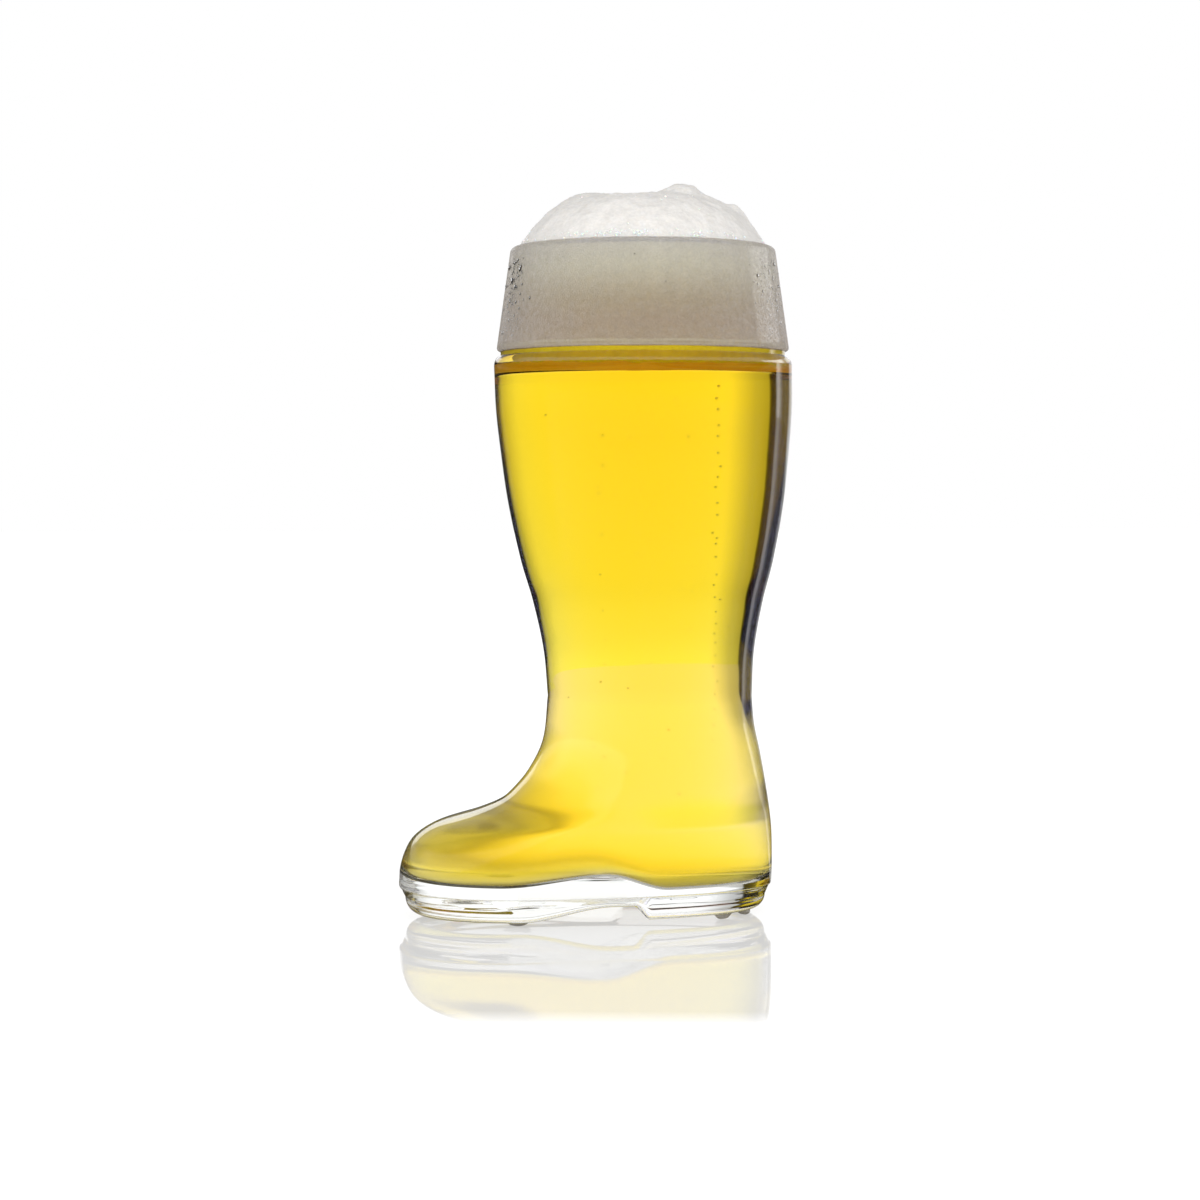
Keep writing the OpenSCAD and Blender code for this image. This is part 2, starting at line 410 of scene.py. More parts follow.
# Height between two rings of the inside above the shaft
ring_step = 1.4


def filling(gap, top):
    """Rings of what fills the glass, from the middle of its floor up to the height top."""
    floor_z = heel_floor_t + gap
    rings = []
    flat = inner_section(floor_z, floor_r + gap)
    for share in shares(14):
        rings.append(lift(ring([v * share for v in flat], floor_z, 1)))
    for a in quarter_turn(16):
        rings.append(inner_ring(floor_z + floor_r * (1 - math.cos(a)), gap + floor_r * (1 - math.sin(a))))
    for z in inner_heights:
        if z > floor_z + floor_r + 0.5:
            rings.append(inner_ring(z, gap))
    low = shaft_z - shoulder_h
    steps = max(4, round((top - low) / ring_step))
    for i in range(steps + 1):
        rings.append(inner_top_ring(mix(low, top, i / steps), gap))
    return rings


# Meshes
def middle(points):
    return (points.min(axis=0) + points.max(axis=0)) / 2


def skin(rings, first_cap=True, last_cap=True):
    """Vertices and faces that join rings into one skin; a cap closes an end to its middle."""
    count = len(rings)
    points = np.concatenate(rings)
    faces = []
    for k in range(count - 1):
        low = k * columns
        for i in range(columns):
            j = (i + 1) % columns
            faces.append((low + i, low + j, low + columns + j, low + columns + i))
    if first_cap:
        points = np.concatenate([points, [middle(rings[0])]])
        for i in range(columns):
            faces.append(((i + 1) % columns, i, len(points) - 1))
    if last_cap:
        points = np.concatenate([points, [middle(rings[-1])]])
        low = (count - 1) * columns
        for i in range(columns):
            faces.append((low + i, low + (i + 1) % columns, len(points) - 1))
    return points, faces


def new_piece(name, points, faces, material, smooth_angle=None):
    """Makes a smooth-shaded mesh object from points in millimetres."""
    mesh = bpy.data.meshes.new(name)
    mesh.from_pydata((np.asarray(points) * MM).tolist(), [], faces)
    mesh.validate()
    mesh.shade_smooth()
    if smooth_angle:
        mesh.set_sharp_from_angle(angle=math.radians(smooth_angle))
    mesh.materials.append(material)
    piece = bpy.data.objects.new(name, mesh)
    bpy.context.scene.collection.objects.link(piece)
    return piece


def sole_floor(first_ring, first_point):
    """Strips across the sole's underside, between each pair of mirrored points of its edge."""
    across = 56
    half = columns // 2
    points = []
    faces = []
    rows = []
    for i in range(1, half):
        right = first_ring[i]
        row = [i]
        for k in range(1, across):
            y = mix(right[1], -right[1], k / across)
            row.append(first_point + len(points))
            points.append((right[0], y, arch_roof(right[0]) - nub_drop(right[0], y)))
        row.append(columns - i)
        rows.append(row)
    for low, high in zip(rows, rows[1:]):
        for k in range(across):
            faces.append((low[k], high[k], high[k + 1], low[k + 1]))
    for k in range(across):
        faces.append((0, rows[0][k], rows[0][k + 1]))
        faces.append((half, rows[-1][k + 1], rows[-1][k]))
    return points, faces


outer = outside_rings()
inner = filling(0, lip_z)
glass_rings = outer + inner[::-1][1:]
glass_points, glass_faces = skin(glass_rings, first_cap=False)
sole_start = len(glass_points)
sole_points, sole_faces = sole_floor(outer[0], sole_start)
glass_points = np.concatenate([glass_points, sole_points])
glass_faces = glass_faces + sole_faces


# Scales of the patterns, in lumps to a metre. The mould's waves are 26 mm long and patches of mist 8 mm.
# Mist droplets and froth are too fine to show, so they are drawn coarser: as 2 mm and as 0.8 mm, with
# some froth bubbles of 2 mm. Froth clumps are 14 mm, its grains 1 mm, and runs of draining beer 4 mm.
mould_waves = 38.0
mist_patch = 120.0
mist_droplets = 500.0
fine_froth = 1300.0
large_froth = 520.0
froth_clump = 70.0
froth_grain = 900.0
draining_run = 260.0

# Glass, water and beer, and gas within beer, where light bends the other way
glass_ior = 1.52
water_ior = 1.33
beer_ior = 1.34
gas_ior = 0.75


# Colours and node helpers
def colour(code):
    """Linear colour of an sRGB hex value."""
    parts = [int(code[i:i + 2], 16) / 255 for i in (0, 2, 4)]
    linear = [p / 12.92 if p <= 0.04045 else ((p + 0.055) / 1.055) ** 2.4 for p in parts]
    return (*linear, 1.0)


def grey(level):
    return (level, level, level, 1)


def new_material(name):
    """An empty node material."""
    material = bpy.data.materials.new(name)
    material.use_nodes = True
    material.node_tree.nodes.clear()
    return material


def add_node(tree, kind, settings=None, links=None):
    """Adds a node, sets its properties and unlinked sockets, and links others to what feeds them.

    What feeds a socket is an output, or a node, which stands for its first output.
    """
    node = tree.nodes.new("ShaderNode" + kind)
    for key, value in (settings or {}).items():
        if isinstance(key, str) and hasattr(node, key):
            setattr(node, key, value)
        else:
            node.inputs[key].default_value = value
    for key, source in (links or {}).items():
        fed_by = source.outputs[0] if isinstance(source, bpy.types.Node) else source
        tree.links.new(fed_by, node.inputs[key])
    return node


def ramp_stops(node, stops):
    """Sets the stops of a colour ramp from (place, colour) pairs."""
    elements = node.color_ramp.elements
    while len(elements) > 1:
        elements.remove(elements[-1])
    elements[0].position = stops[0][0]
    elements[0].color = stops[0][1]
    for place, tint in stops[1:]:
        elements.new(place).color = tint


def casting_light(tree, shader, tint):
    """Gives a clear shader a light tinted shadow, as real glass has, in place of a dark one."""
    rays = add_node(tree, "LightPath")
    lets_light = add_node(tree, "BsdfTransparent", {"Color": colour(tint)})
    return add_node(tree, "MixShader", None, {0: rays.outputs["Is Shadow Ray"], 1: shader, 2: lets_light})


def glass_material(name, mirror):
    """Clear glass; mirror scales how much its face reflects, which is little where beer wets it."""
    material = new_material(name)
    tree = material.node_tree
    place = add_node(tree, "TexCoord").outputs["Object"]
    waves = add_node(tree, "TexNoise", {"Scale": mould_waves, "Detail": 2.0, "Roughness": 0.45},
                     {"Vector": place})
    wave_bump = add_node(tree, "Bump", {"Strength": 0.1, "Distance": 0.0008}, {"Height": waves})
    heights = add_node(tree, "SeparateXYZ", None, {0: place})
    cuff = add_node(tree, "MapRange",
                    {"From Min": cuff_z * MM, "From Max": (cuff_z + 5) * MM, "To Max": 0.16},
                    {"Value": heights.outputs["Z"]})
    mist_patches = add_node(tree, "TexNoise", {"Scale": mist_patch, "Detail": 3.0}, {"Vector": place})
    mist = add_node(tree, "Math", {"operation": "MULTIPLY"}, {0: cuff, 1: mist_patches})
    glass_shader = add_node(
        tree, "BsdfPrincipled",
        {"Base Color": colour("FDFFFE"), "IOR": glass_ior, "Transmission Weight": 1.0,
         "Specular Tint": grey(mirror)},
        {"Normal": wave_bump, "Roughness": mist})
    add_node(tree, "OutputMaterial", None, {"Surface": casting_light(tree, glass_shader, "DFE3E8")})
    return material


# Soda-lime glass blown into a mould: clear and glossy, with the slow waves that a mould leaves,
# which make the lines seen through it wander a little. A breath of mist dulls the cold cuff. Where beer
# wets it the face hardly mirrors, and on the foot's outside the mirroring is painted down, to dim the bright
# sheen there.
clear_glass = glass_material("clear_moulded_soda_lime_glass", 1.0)
wetted_glass = glass_material("soda_lime_glass_wetted_by_beer", 0.1)
foot_glass_with_dim_sheen = glass_material("moulded_soda_lime_glass_with_painted_dim_sheen_at_the_foot", 0.4)


def worn_and_painted_glass(name, tint, alpha):
    """Glass that is scuffed dull, drawn as a rough tinted veil that lets light straight through without
    mirroring it; its tint paints the tone of each use: shade on the nubs, a pale veil on the underside.
    """
    material = new_material(name)
    tree = material.node_tree
    shader = add_node(tree, "BsdfPrincipled",
                      {"Base Color": colour(tint), "Roughness": 0.5, "IOR": glass_ior, "Alpha": alpha})
    add_node(tree, "OutputMaterial", None, {"Surface": shader})
    return material


# The nubs, which carry the boot, are scuffed, and painted dark brown as shade where they meet the table. The
# rest of the underside is scuffed a little, and the arch's far edge gets the same pale veil, painted over
# the dark reflection there.
worn_underside_and_pale_veil = worn_and_painted_glass("soda_lime_glass_worn_underside", "F1F0EC", 0.16)
scuffed_nubs_with_painted_shade = worn_and_painted_glass("soda_lime_glass_scuffed_nubs", "6E6242", 0.55)

# Lager, filtered bright: a clear liquid whose yellow deepens with the depth that light crosses. In the
# foot the mould left the glass uneven inside, which blurs what is seen through the beer there. The blur
# sets in below the ankle, and most of it is gone again at the floor.
blur_top = 75
blur_full = 50
floor_high = 23
floor_low = 14
foot_blur = 0.22
floor_blur_share = 0.25
lager = new_material("bright_filtered_lager")
tree = lager.node_tree
place = add_node(tree, "TexCoord").outputs["Object"]
heights = add_node(tree, "SeparateXYZ", None, {0: place})
foot_skin = add_node(tree, "MapRange",
                     {"From Min": blur_top * MM, "From Max": blur_full * MM, "To Max": foot_blur},
                     {"Value": heights.outputs["Z"]})
floor_skin = add_node(tree, "MapRange",
                      {"From Min": floor_low * MM, "From Max": floor_high * MM, "To Min": floor_blur_share},
                      {"Value": heights.outputs["Z"]})
mould_skin = add_node(tree, "Math", {"operation": "MULTIPLY"}, {0: foot_skin, 1: floor_skin})
beer_shader = add_node(
    tree, "BsdfPrincipled",
    {"Base Color": colour("FFFFFF"), "IOR": beer_ior, "Transmission Weight": 1.0,
     "Specular Tint": grey(0.1)},
    {"Roughness": mould_skin})
beer_depth = add_node(tree, "VolumeAbsorption", {"Color": colour("FFF400"), "Density": 50.0})
add_node(tree, "OutputMaterial", None, {
    "Surface": casting_light(tree, beer_shader, "FFF0A0"), "Volume": beer_depth})

# Beer foam: densely packed small bubbles that scatter light, so it looks soft and off-white, with
# fine pits at its skin. Real bubbles are about half a millimetre, with some of one to two millimetres.
# Its colour goes by height, darker beige low in the cuff and paler up to the dome. Soaked with beer the foam
# is golden at the beer's surface; this band and the orange underside below it are painted brighter, for the
# light that comes up through the beer, and a thin pale stripe just above them is a painted highlight.
foam_white = new_material("beer_foam_of_small_bubbles")
tree = foam_white.node_tree
place = add_node(tree, "TexCoord").outputs["Object"]
fine_bubbles = add_node(tree, "TexVoronoi", {"Scale": fine_froth}, {"Vector": place})
large_bubbles = add_node(tree, "TexVoronoi", {"Scale": large_froth}, {"Vector": place})
clumps = add_node(tree, "TexNoise", {"Scale": froth_clump, "Detail": 5.0}, {"Vector": place})
froth_height = add_node(tree, "Mix", {"data_type": "FLOAT", "Factor": 0.4}, {
    2: fine_bubbles.outputs["Distance"], 3: large_bubbles.outputs["Distance"]})
froth_bump = add_node(tree, "Bump", {"Strength": 0.3, "Distance": 0.0003, "invert": True},
                      {"Height": froth_height})
clump_bump = add_node(tree, "Bump", {"Strength": 0.14, "Distance": 0.0015},
                      {"Height": clumps, "Normal": froth_bump})
heights = add_node(tree, "SeparateXYZ", None, {0: place})
wandering = add_node(tree, "Math", {"operation": "MULTIPLY_ADD", 1: 0.001, 2: -0.0005}, {0: clumps})
tint_height = add_node(tree, "Math", {"operation": "ADD"}, {0: heights.outputs["Z"], 1: wandering})
tint_low = beer_z - 6
tint_high = glass_h + 6
tint_share = add_node(tree, "MapRange", {"From Min": tint_low * MM, "From Max": tint_high * MM},
                   {"Value": tint_height})
foam_tint = add_node(tree, "ValToRGB", None, {"Fac": tint_share})
# Painted light: the orange and golden stops at the beer's surface are painted bright for light that comes up
# through the beer, and the pale stop CDBD96 above them is a painted highlight
ramp_stops(foam_tint, [((z - tint_low) / (tint_high - tint_low), colour(code)) for z, code in (
    (tint_low, "FFD000"), (beer_z - 1.3, "FFD000"), (beer_z - 0.9, "FFDC20"), (beer_z + 1.1, "FFDC20"),
    (beer_z + 1.6, "AE9468"), (beer_z + 2.2, "AE9468"), (beer_z + 2.8, "CDBD96"), (beer_z + 3.6, "AE9468"),
    (beer_z + 9, "AC9168"), (glass_h - 21, "B29C6F"), (glass_h - 9, "D8D0B4"),
    (glass_h - 0.5, "DAD4C4"), (glass_h + 0.4, "E3E0DC"))])
grains = add_node(tree, "TexNoise", {"Scale": froth_grain, "Detail": 2.0}, {"Vector": place})
speckle = add_node(tree, "MapRange",
                   {"From Min": 0.3, "From Max": 0.7, "To Min": 0.94, "To Max": 1.05},
                   {"Value": grains})
drained = add_node(tree, "Mapping", {"Scale": (1.0, 1.0, 0.04)}, {"Vector": place})
runs = add_node(tree, "TexNoise", {"Scale": draining_run, "Detail": 2.0}, {"Vector": drained})
streaks = add_node(tree, "MapRange",
                   {"From Min": 0.3, "From Max": 0.7, "To Min": 0.95, "To Max": 1.05},
                   {"Value": runs})
uneven = add_node(tree, "Math", {"operation": "MULTIPLY"}, {0: speckle, 1: streaks})
foam_colour = add_node(tree, "Mix", {"data_type": "RGBA", "blend_type": "MULTIPLY", 0: 1.0}, {
    6: foam_tint, 7: uneven})
foam_shader = add_node(
    tree, "BsdfPrincipled",
    {"Roughness": 0.45, "IOR": water_ior, "Subsurface Weight": 0.5, "Subsurface Scale": 0.003,
     "Subsurface Radius": (1.0, 0.92, 0.8)},
    {"Base Color": foam_colour.outputs[2], "Normal": clump_bump})
add_node(tree, "OutputMaterial", None, {"Surface": foam_shader})


# The glass
boot = new_piece("boot_of_glass", glass_points, glass_faces, clear_glass, smooth_angle=38)
boot_skins = [clear_glass, wetted_glass, worn_underside_and_pale_veil, scuffed_nubs_with_painted_shade, foot_glass_with_dim_sheen]
for glass in boot_skins[1:]:
    boot.data.materials.append(glass)
inner_start = len(outer) * columns
inner_end = len(glass_rings) * columns
# Depth of a nub from which it is scuffed and painted dark, and height of the arch from which its far edge
# gets the pale veil
scuff_depth = 0.15
arch_open = 0.3


def skin_of(face):
    """Which glass a face of the boot shows; the arch's far edge gets the underside's pale veil, painted over
    its dark reflection, and its near one doesn't.
    """
    corners = face.vertices
    x, y, z = face.center / MM
    underside = any(k >= sole_start for k in corners)
    arch_edge = corners[0] < edge_rings * columns and y > 0 and arch_roof(x) > nub_h + arch_open
    if all(inner_start <= k <= inner_end for k in corners) and face.center[2] < beer_z * MM:
        return wetted_glass
    if underside and nub_drop(x, y) > scuff_depth:
        return scuffed_nubs_with_painted_shade
    if underside or arch_edge:
        return worn_underside_and_pale_veil
    # Painted shade on the reflection: the foot's outside mirrors less, which dims the bright sheen there
    if corners[0] < inner_start and welt_z < z < ankle_z:
        return foot_glass_with_dim_sheen
    return clear_glass


for face in boot.data.polygons:
    face.material_index = boot_skins.index(skin_of(face))
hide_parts("boot_glass")
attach(boot, "root")

# The beer wets the glass: its skin lies a hair inside the wall, so no air shows between them
wetting = 0.12
beer_points, beer_faces = skin(filling(-wetting, beer_z))
beer_fill = new_piece("lager_fill", beer_points, beer_faces, lager, smooth_angle=60)
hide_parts("beer")
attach(beer_fill, "root")

# Foam: a collar that fills the cuff, and a lumpy dome above the rim. Each lump has its angle, its place
# as a share of the dome's radius, its width in the same measure and its rise as a share of its height.
dome_power = 4
dome_steps = 90
dome_lumps = [(-9, 0.32, 0.21, 0.29), (-9, 0.8, 0.115, 0.3), (171, 0.5, 0.29, 0.15), (0, 0.02, 0.08, -0.07),
              (120, 0.55, 0.3, -0.04), (240, 0.7, 0.2, 0.03)]


def dome_height(share, a):
    """Height of the dome at an angle and a share of its radius."""
    x = share * math.cos(a)
    y = share * math.sin(a)
    height = 1.0
    for angle, place, width, rise in dome_lumps:
        dx = x - place * math.cos(math.radians(angle))
        dy = y - place * math.sin(math.radians(angle))
        height += rise * math.exp(-(dx * dx + dy * dy) / (width * width))
    return foam_dome_h * (1 - share ** dome_power) * height


# Depth that the foam hangs along the wall below the beer's surface, and its gap to the lip
hang_behind = 1.4
hang_in_front = 4.2
foam_gap = 0.05
# Rise and size of the lumps of its lower line, with the most that they rise, and of the dome's skin
line_lumps = ((1.5, 19), (0.7, 5))
line_highest = 1.2
skin_lumps = ((0.8, 12), (0.5, 5), (0.25, 2.2))
# Rings over which the skin's lumps grow from the lip up
smooth_rings = 12


def foam_rings():
    """Rings of the underside, of the wall inside the cuff, over the lip, and of the dome."""
    low_z = beer_z - hang_behind
    rings = []
    low_ring = inner_top_ring(low_z, -wetting)
    for point in low_ring:
        point[2] += min(lumpy(point, line_lumps, SEED), line_highest)
    centre = middle(low_ring)
    in_front = np.array([ease(0.5 - 0.8 * (point[1] - centre[1]) / shaft_d * 2) for point in low_ring])
    sag = (hang_in_front - hang_behind) * in_front
    for s in shares(60):
        under = centre + (low_ring - centre) * s
        near_wall = 1 - ease((1 - s) * shaft_d / 2 / hang_in_front)
        under[:, 2] -= sag * near_wall
        rings.append(under)
    low_ring[:, 2] -= sag
    rings.append(low_ring)
    for s in shares(35) + [1.0]:
        rings.append(inner_top_ring(mix(low_z + 2, lip_z, s), -wetting))
    over_lip = lip_t / 2 + foam_gap
    for a in quarter_turn(8)[1:]:
        r = min(foam_dome_d / 2, rim_d / 2 - lip_t / 2 - over_lip * math.cos(a))
        rings.append(round_ring(lip_z + over_lip * math.sin(a), r))
    for k in range(1, dome_steps):
        share = math.cos(math.pi / 2 * k / dome_steps)
        r = foam_dome_d / 2 * share
        heights = np.array([glass_h + foam_gap + dome_height(share, a) for a in angles])
        froth_ring = np.stack([mouth_x + r * cosines, r * sines, heights], axis=1)
        for point in froth_ring:
            point[2] += min(1, k / smooth_rings) * lumpy(point, skin_lumps)
        rings.append(froth_ring)
    return rings


foam_points, foam_faces = skin(foam_rings())
foam = new_piece("foam_head_dome", foam_points, foam_faces, foam_white)
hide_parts("foam_head")
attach(foam, "root")


# Small round pieces: drops, froth and rising bubbles
def ball_points(around, up):
    """Points and faces of a ball of radius 1 in bands."""
    points = [(0, 0, -1)]
    for j in range(1, up):
        tall = math.pi * j / up - math.pi / 2
        for i in range(around):
            turn = 2 * math.pi * i / around
            points.append((math.cos(tall) * math.cos(turn), math.cos(tall) * math.sin(turn), math.sin(tall)))
    points.append((0, 0, 1))
    faces = [(0, 1 + (i + 1) % around, 1 + i) for i in range(around)]
    for j in range(up - 2):
        low = 1 + j * around
        for i in range(around):
            right = (i + 1) % around
            faces.append((low + i, low + right, low + around + right, low + around + i))
    last = 1 + (up - 2) * around
    faces += [(last + i, last + (i + 1) % around, len(points) - 1) for i in range(around)]
    return np.array(points, dtype=float), faces


def round_place(centre, r):
    return (centre, (r, 0, 0), (0, r, 0), (0, 0, r))


def many_balls(name, places, material, around, up):
    """One mesh of many balls; each place is (centre, x axis, y axis, z axis) in millimetres."""
    ball, ball_faces = ball_points(around, up)
    points = []
    faces = []
    for centre, x_axis, y_axis, z_axis in places:
        start = len(ball) * len(points)
        points.append(np.array(centre) + ball @ np.array([x_axis, y_axis, z_axis]))
        faces += [tuple(k + start for k in face) for face in ball_faces]
    piece = new_piece(name, np.concatenate(points), faces, material)
    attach(piece, "root")
    return piece


def clear_bubble(name, ior, tint, mirror):
    """A clear drop or bubble; mirror scales how much its face reflects."""
    material = new_material(name)
    tree = material.node_tree
    shader = add_node(tree, "BsdfPrincipled",
                      {"Base Color": colour(tint), "Roughness": 0.0, "IOR": ior, "Transmission Weight": 1.0,
                       "Specular Tint": grey(mirror)})
    add_node(tree, "OutputMaterial", None, {"Surface": shader})
    return material


# Water that condensed on the cold cuff: small clear drops, which turn the room upside down in them. Their
# dark tint and weak mirroring are painted shade, for the dark room that they show.
water_drops = clear_bubble("condensed_water_drops", water_ior, "6A625A", 0.25)
luck = random.Random(SEED)
to_camera = -90 + camera_azimuth


def on_cuff(turn, z):
    """Point and outward normal of the cuff's outside."""
    share = (z - cuff_z) / cuff_h
    r = mix(cuff_d, rim_d, share) / 2
    lean = (cuff_d - rim_d) / 2 / cuff_h
    a = math.radians(turn)
    outward = np.array((math.cos(a), math.sin(a), lean))
    outward /= np.linalg.norm(outward)
    centre_x = mouth_x + shift(z)
    return np.array((centre_x + r * math.cos(a), r * math.sin(a), z)), outward


# Patches of drops: degrees from the camera's side, spread in degrees and number; and single drops
drop_patches = [(-68, 6, 260), (66, 7, 130)]
single_drops = 60


def drop_places():
    places = []
    turns = []
    for middle_turn, spread, count in drop_patches:
        turns += [(to_camera + luck.gauss(middle_turn, spread), 1.0) for _ in range(count)]
    turns += [(luck.uniform(0, 360), 0.35) for _ in range(single_drops)]
    for turn, scale in turns:
        z = luck.uniform(cuff_z + 3, glass_h - 5)
        r = scale * min(1.0, 0.14 + luck.expovariate(9.0))
        point, outward = on_cuff(turn, z)
        side = np.cross(outward, (0, 0, 1))
        side /= np.linalg.norm(side)
        up = np.cross(side, outward)
        places.append((point, side * r, up * r * luck.uniform(1.0, 1.5), outward * r * 0.5))
    return places


drops = many_balls("condensation_drops", drop_places(), water_drops, 10, 6)

# A breath of mist round the cuff: a thin closed film whose droplets are too small to see one by one
mist_grey = new_material("breath_of_mist_on_cold_glass")
tree = mist_grey.node_tree
place = add_node(tree, "TexCoord").outputs["Object"]
droplets = add_node(tree, "TexNoise", {"Scale": mist_droplets, "Detail": 4.0, "Roughness": 0.65},
                    {"Vector": place})
film_facing = add_node(tree, "LayerWeight", {"Blend": 0.35})
film_alpha = add_node(tree, "MapRange", {"From Max": 0.9, "To Min": 0.08, "To Max": 0.42},
                      {"Value": film_facing.outputs["Facing"]})
patchy_alpha = add_node(tree, "MapRange",
                        {"From Min": 0.3, "From Max": 0.7, "To Min": 0.6, "To Max": 1.4},
                        {"Value": droplets})
mist_alpha = add_node(tree, "Math", {"operation": "MULTIPLY"}, {0: film_alpha, 1: patchy_alpha})
mist_shader = add_node(tree, "BsdfPrincipled",
                       {"Base Color": colour("C9C2BC"), "Roughness": 0.9, "IOR": water_ior,
                        "Specular IOR Level": 0.1},
                       {"Alpha": mist_alpha})
add_node(tree, "OutputMaterial", None, {"Surface": mist_shader})


def film_profile():
    """Heights and radii of the cuff's outside, from its lower corner over the lip."""
    profile = []
    for a in quarter_turn(4):
        edge = cuff_d / 2 - cuff_corner_r * (1 - math.sin(a))
        profile.append((cuff_z + cuff_corner_r * (1 - math.cos(a)), edge))
    for s in shares(12):
        profile.append((mix(cuff_z + cuff_corner_r, lip_z, s), mix(cuff_d, rim_d, s) / 2))
    for a in quarter_turn(6):
        profile.append((lip_z + lip_t / 2 * math.sin(a), rim_d / 2 - lip_t / 2 * (1 - math.cos(a))))
    return profile


# Distance of the film's outer and inner face from the glass
film_out = 0.07
film_in = 0.03


def film_rings(off):
    """Rings round the cuff at a distance from it, a little taller than it."""
    middle_z = glass_h - cuff_h / 2
    rings = []
    for z, r in film_profile():
        rings.append(round_ring(z + 0.6 * off * (z - middle_z) / (cuff_h / 2), r + off))
    return rings


film_loop = film_rings(film_out) + film_rings(film_in)[::-1]
film_points, film_faces = skin(film_loop + film_loop[:1], False, False)
film_count = len(film_loop) * columns
film_faces = [tuple(k % film_count for k in face) for face in film_faces]
mist_film = new_piece("mist_on_cuff", film_points[:film_count], film_faces, mist_grey)
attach(mist_film, "root")

# Bubbles of gas that rise through the beer in two strings, and a few loose ones
gas_bubbles = clear_bubble("carbon_dioxide_bubbles", gas_ior, "FFFFFF", 1.0)


# Strings of bubbles: x from the mouth's middle, y, lowest and highest point, spacing; and loose ones
bubble_strings = [(19.5, -8, 62, 190, 4.6), (-14, -15, 90, 180, 11.0)]
loose_bubbles = 26


def bubble_places():
    places = []
    for x, y, low, high, step in bubble_strings:
        z = low
        while z < high:
            r = mix(0.22, 0.42, (z - low) / (high - low))
            where = (mouth_x + x + luck.gauss(0, 0.5), y + luck.gauss(0, 0.5), z)
            places.append(round_place(where, r))
            z += step * luck.uniform(0.7, 1.3)
    for _ in range(loose_bubbles):
        turn = luck.uniform(0, 2 * math.pi)
        off = luck.uniform(0, 26)
        r = luck.uniform(0.15, 0.34)
        where = (mouth_x + off * math.cos(turn), off * math.sin(turn), luck.uniform(40, 190))
        places.append(round_place(where, r))
    return places


gas = many_balls("rising_bubbles", bubble_places(), gas_bubbles, 12, 8)

# Froth: larger bubbles that sit in the foam's skin, most of them along the rim in front
froth_skin = new_material("froth_bubble_skins")
tree = froth_skin.node_tree
froth_shader = add_node(tree, "BsdfPrincipled",
                        {"Base Color": colour("F6F4F0"), "Roughness": 0.12, "IOR": water_ior,
                         "Subsurface Weight": 0.4, "Subsurface Scale": 0.001})
add_node(tree, "OutputMaterial", None, {"Surface": froth_shader})


froth_count = 420


def froth_places():
    places = []
    for _ in range(froth_count):
        front = luck.random() < 0.6
        turn = to_camera + luck.gauss(0, 34) if front else luck.uniform(0, 360)
        share = luck.uniform(0.955, 0.998) if front else math.sqrt(luck.random()) * 0.97
        a = math.radians(turn)
        r = min(0.6, 0.12 + luck.expovariate(8.0)) * (1.0 if front else 0.8)
        off = foam_dome_d / 2 * share
        z = glass_h + dome_height(share, a)
        where = (mouth_x + off * math.cos(a), off * math.sin(a), z)
        places.append(round_place(where, r))
    return places


froth_piece = many_balls("froth_bubbles", froth_places(), froth_skin, 10, 6)

# The studio: soft grey light on the object, and white behind it for what is seen, also through glass.
# The walls are ramps round the horizon that start straight in front of the boot.
camera_turn = -camera_azimuth
ramp_start = camera_turn + 180


def turn_share(tree, aside, ahead):
    """Direction round the horizon from its two parts, as a share of a full turn."""
    turn = add_node(tree, "Math", {"operation": "ARCTAN2"}, {0: aside, 1: ahead})
    return add_node(tree, "MapRange", {"From Min": -math.pi, "From Max": math.pi}, {"Value": turn})


def studio_wall(tree, share, stops):
    """Ramp round the horizon from (degrees to the right of straight behind the boot, brightness) pairs."""
    wall = add_node(tree, "ValToRGB", None, {"Fac": share})
    ramp_stops(wall, [((d + ramp_start) / 360, grey(v)) for d, v in stops])
    return wall


def by_ray(tree, plain, gloss, through):
    """Shows gloss to mirrored light and through to light that glass let through, plain to the rest."""
    rays = add_node(tree, "LightPath")
    plain_or_gloss = add_node(tree, "MixShader", None, {
        0: rays.outputs["Is Glossy Ray"], 1: plain, 2: gloss})
    return add_node(tree, "MixShader", None, {
        0: rays.outputs["Is Transmission Ray"], 1: plain_or_gloss, 2: through})


# Through the glass one sees a white backdrop with the dark room at its sides, which draws the dark edges
backdrop_stops = [(-110, 0.6), (-98, 0.5), (-92, 0.03), (-34.5, 0.004), (-33, 0.44), (-26, 0.55),
                  (-21.5, 0.76), (-17, 1.0), (34, 1.0), (50, 0.72), (53, 0.5), (58, 0.01), (66, 0.02),
                  (76, 0.5), (110, 0.6)]
# Close to the boot, as seen through the glass, the table is painted pale in front of it and behind it, with
# painted shade at its sides
near_stops = [(-178, 0.9), (-165, 0.2), (-108, 0.12), (-98, 0.5), (-88, 0.85), (-50, 0.8), (-38, 0.6),
              (-26, 0.86), (-5, 1.0), (24, 1.0), (31, 0.8), (37, 0.55), (46, 0.3), (100, 0.25), (130, 0.6),
              (170, 1.0)]
# Through the clear sole the table close to the boot is painted dark in a sector beside it, painted shade
# that stands for the dark room beside the table
clear_stops = [(-180, 0.95), (-145, 0.9), (-136, 0.1), (-70, 0.06), (-60, 0.6), (-50, 0.95), (170, 1.0)]
# In the gloss one sees a dark room with a pale strip behind the boot and a bright one on its right
strip_stops = [(-60, 0.03), (-8, 0.05), (0, 0.9), (24, 0.9), (28, 0.1), (43, 0.1), (46, 0.5), (49, 1.1),
               (51.5, 2.2), (55, 2.0), (57, 0.02)]
